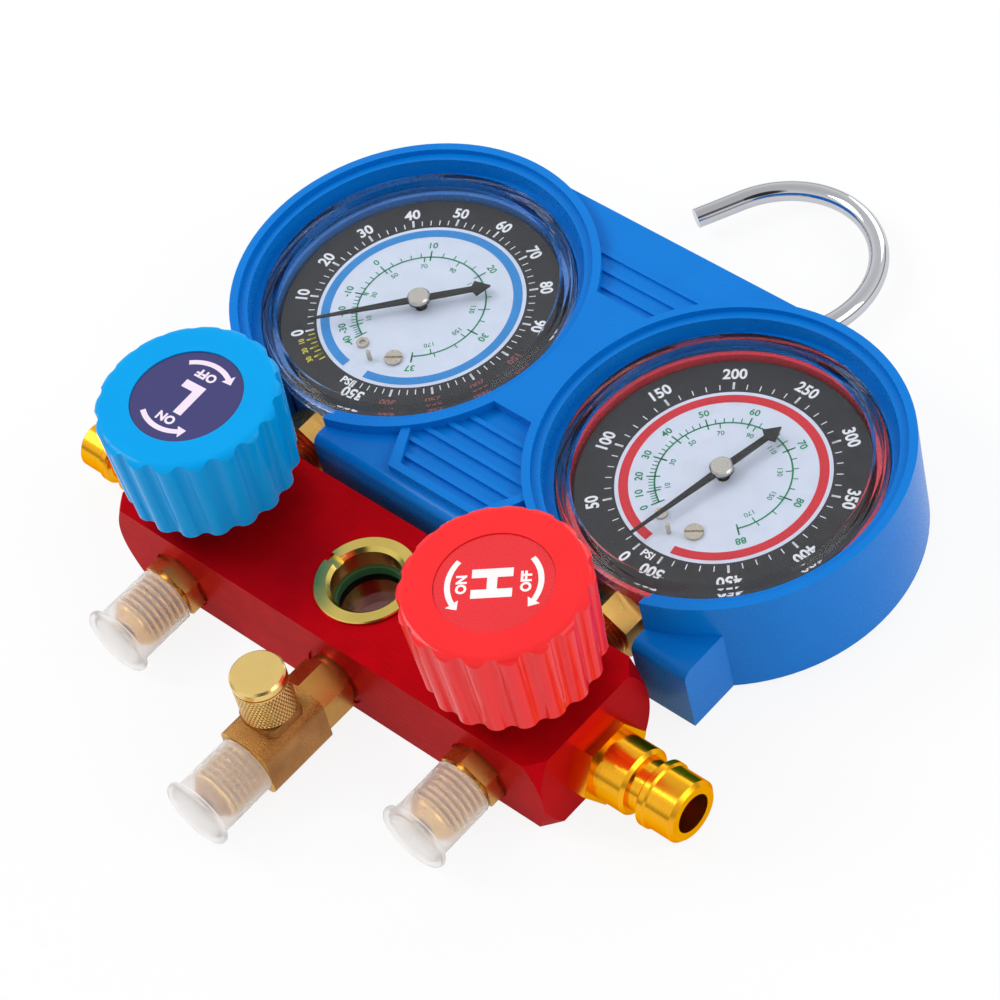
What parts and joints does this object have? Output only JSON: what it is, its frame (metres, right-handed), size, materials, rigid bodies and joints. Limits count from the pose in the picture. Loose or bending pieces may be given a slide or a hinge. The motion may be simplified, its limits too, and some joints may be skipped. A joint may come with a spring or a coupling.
{
  "type": "refrigerant manifold gauge",
  "caption": "Refrigerant manifold gauge with valve knobs, dial gauges in a moulded holder, hose ports, quick couplers and a hanging hook.",
  "frame": {"origin": "middle of the manifold block's back face, which lies on the bench", "axes": "+X from the low side to the high side, +Y from the manifold to the gauges and hook, +Z out of the dials"},
  "size_m": [0.185, 0.2227, 0.0562],
  "materials": {
    "red_anodised_block": "red anodised, machined",
    "polished_brass": "polished",
    "green_gasket": "matte",
    "sight_glass": "clear",
    "turned_brass": "turned",
    "forged_brass": "forged, matte",
    "knurled_brass": "knurled, bright",
    "rubber_seal": "matte",
    "translucent_cap": "translucent, soft",
    "gold_anodised": "gold anodised",
    "case_low": "blue paint",
    "case_high": "red paint",
    "dial_face": "printed, satin",
    "clear_lens": "clear moulded",
    "movement_brass": "satin",
    "black_pointer": "satin black",
    "plated_steel": "nickel plated",
    "blue_knob": "gloss",
    "red_knob": "gloss",
    "navy_label": "printed, gloss",
    "red_label": "printed, gloss",
    "blue_holder": "fine satin",
    "chrome_wire": "polished"
  },
  "bodies": {
    "body": {"high_bourdon_tube": "movement_brass", "high_coupler": "gold_anodised", "high_dial_fixings": "plated_steel", "high_gauge_case": "case_high", "high_gauge_dial": "dial_face", "high_gauge_lens": "clear_lens", "high_gauge_stem": "turned_brass", "high_hose_port": "turned_brass", "high_movement_frame": "movement_brass", "high_valve_bonnet": "turned_brass", "holder_back": "blue_holder", "holder_front": "blue_holder", "holder_screws": "plated_steel", "low_bourdon_tube": "movement_brass", "low_coupler": "gold_anodised", "low_dial_fixings": "plated_steel", "low_gauge_case": "case_low", "low_gauge_dial": "dial_face", "low_gauge_lens": "clear_lens", "low_gauge_stem": "turned_brass", "low_hose_port": "turned_brass", "low_movement_frame": "movement_brass", "low_valve_bonnet": "turned_brass", "manifold_block": "red_anodised_block", "sight_glass_gasket": "green_gasket", "sight_glass_lens": "sight_glass", "sight_glass_ring": "polished_brass", "tee_body": "forged_brass", "tee_nipple": "turned_brass", "valve_core": "turned_brass"},
    "low_plunger": {"low_valve_piston": "turned_brass"},
    "low_handle": {"low_valve_stem": "turned_brass", "low_knob": "blue_knob", "low_knob_label": "navy_label", "low_knob_screw": "plated_steel"},
    "high_plunger": {"high_valve_piston": "turned_brass"},
    "high_handle": {"high_valve_stem": "turned_brass", "high_knob": "red_knob", "high_knob_label": "red_label", "high_knob_screw": "plated_steel"},
    "low_needle": {"low_pointer_arbor": "movement_brass", "low_pointer": "black_pointer"},
    "high_needle": {"high_pointer_arbor": "movement_brass", "high_pointer": "black_pointer"},
    "low_sector": {"low_sector_gear": "movement_brass"},
    "high_sector": {"high_sector_gear": "movement_brass"},
    "low_linkage": {"low_gauge_link": "movement_brass"},
    "high_linkage": {"high_gauge_link": "movement_brass"},
    "hanger": {"hook": "chrome_wire", "hook_retainer": "chrome_wire"},
    "core_pin": {"valve_core_pin": "turned_brass"},
    "cap_carrier": {"service_cap_seal": "rubber_seal"},
    "cap_shell": {"service_cap": "knurled_brass"},
    "low_cap": {"low_dust_cap": "translucent_cap"},
    "center_cap": {"center_dust_cap": "translucent_cap"},
    "high_cap": {"high_dust_cap": "translucent_cap"}
  },
  "joints": [
    {"name": "low_valve_lift", "type": "slide", "parent": "body", "child": "low_plunger", "axis": [0, 0, 1], "range_m": [0, 0.003]},
    {"name": "low_knob_turn", "type": "hinge", "parent": "low_plunger", "child": "low_handle", "pos_m": [-0.0463, 0, 0.03], "axis": [0, 0, 1], "range_deg": [0, 720]},
    {"name": "low_pointer_turn", "type": "hinge", "parent": "body", "child": "low_needle", "pos_m": [-0.0463, 0.068, 0.02], "axis": [0, 0, 1], "range_deg": [-300, 25]},
    {"name": "low_sector_turn", "type": "hinge", "parent": "body", "child": "low_sector", "pos_m": [-0.0463, 0.05415, 0.013], "axis": [0, 0, 1], "range_deg": [-3.23, 37.6]},
    {"name": "low_link_swing", "type": "hinge", "parent": "low_sector", "child": "low_linkage", "pos_m": [-0.04787, 0.04983, 0.0148], "axis": [0, 0, 1], "range_deg": [-37.6, 3.23]},
    {"name": "high_valve_lift", "type": "slide", "parent": "body", "child": "high_plunger", "axis": [0, 0, 1], "range_m": [0, 0.003]},
    {"name": "high_knob_turn", "type": "hinge", "parent": "high_plunger", "child": "high_handle", "pos_m": [0.0463, 0, 0.03], "axis": [0, 0, 1], "range_deg": [0, 720]},
    {"name": "high_pointer_turn", "type": "hinge", "parent": "body", "child": "high_needle", "pos_m": [0.0463, 0.068, 0.02], "axis": [0, 0, 1], "range_deg": [-338, 4]},
    {"name": "high_sector_turn", "type": "hinge", "parent": "body", "child": "high_sector", "pos_m": [0.0463, 0.05415, 0.013], "axis": [0, 0, 1], "range_deg": [-0.6, 42.35]},
    {"name": "high_link_swing", "type": "hinge", "parent": "high_sector", "child": "high_linkage", "pos_m": [0.04473, 0.04983, 0.0148], "axis": [0, 0, 1], "range_deg": [-42.35, 0.6]},
    {"name": "hook_swivel", "type": "hinge", "parent": "body", "child": "hanger", "pos_m": [0, 0.104, 0.0053], "axis": [0, 1, 0], "continuous": true},
    {"name": "core_pin_push", "type": "slide", "parent": "body", "child": "core_pin", "axis": [0, 0, 1], "range_m": [-0.001, 0], "stiffness_N_per_m": 200},
    {"name": "service_cap_lift", "type": "slide", "parent": "body", "child": "cap_carrier", "axis": [0, 0, 1], "range_m": [0, 0.007]},
    {"name": "service_cap_turn", "type": "hinge", "parent": "cap_carrier", "child": "cap_shell", "pos_m": [0.0025, -0.0357, 0.02], "axis": [0, 0, 1], "range_deg": [0, 2520]},
    {"name": "low_cap_pull", "type": "slide", "parent": "body", "child": "low_cap", "axis": [0, -1, 0], "range_m": [0, 0.03]},
    {"name": "center_cap_pull", "type": "slide", "parent": "body", "child": "center_cap", "axis": [0, -1, 0], "range_m": [0, 0.03]},
    {"name": "high_cap_pull", "type": "slide", "parent": "body", "child": "high_cap", "axis": [0, -1, 0], "range_m": [0, 0.03]}
  ],
  "couplings": [
    {"joint": "low_knob_turn", "follows": "low_valve_lift", "rad_per_m": 4188.8},
    {"joint": "low_sector_turn", "follows": "low_pointer_turn", "ratio": -0.125},
    {"joint": "low_link_swing", "follows": "low_pointer_turn", "ratio": 0.125},
    {"joint": "high_knob_turn", "follows": "high_valve_lift", "rad_per_m": 4188.8},
    {"joint": "high_sector_turn", "follows": "high_pointer_turn", "ratio": -0.125},
    {"joint": "high_link_swing", "follows": "high_pointer_turn", "ratio": 0.125},
    {"joint": "service_cap_turn", "follows": "service_cap_lift", "rad_per_m": 6283.2}
  ]
}
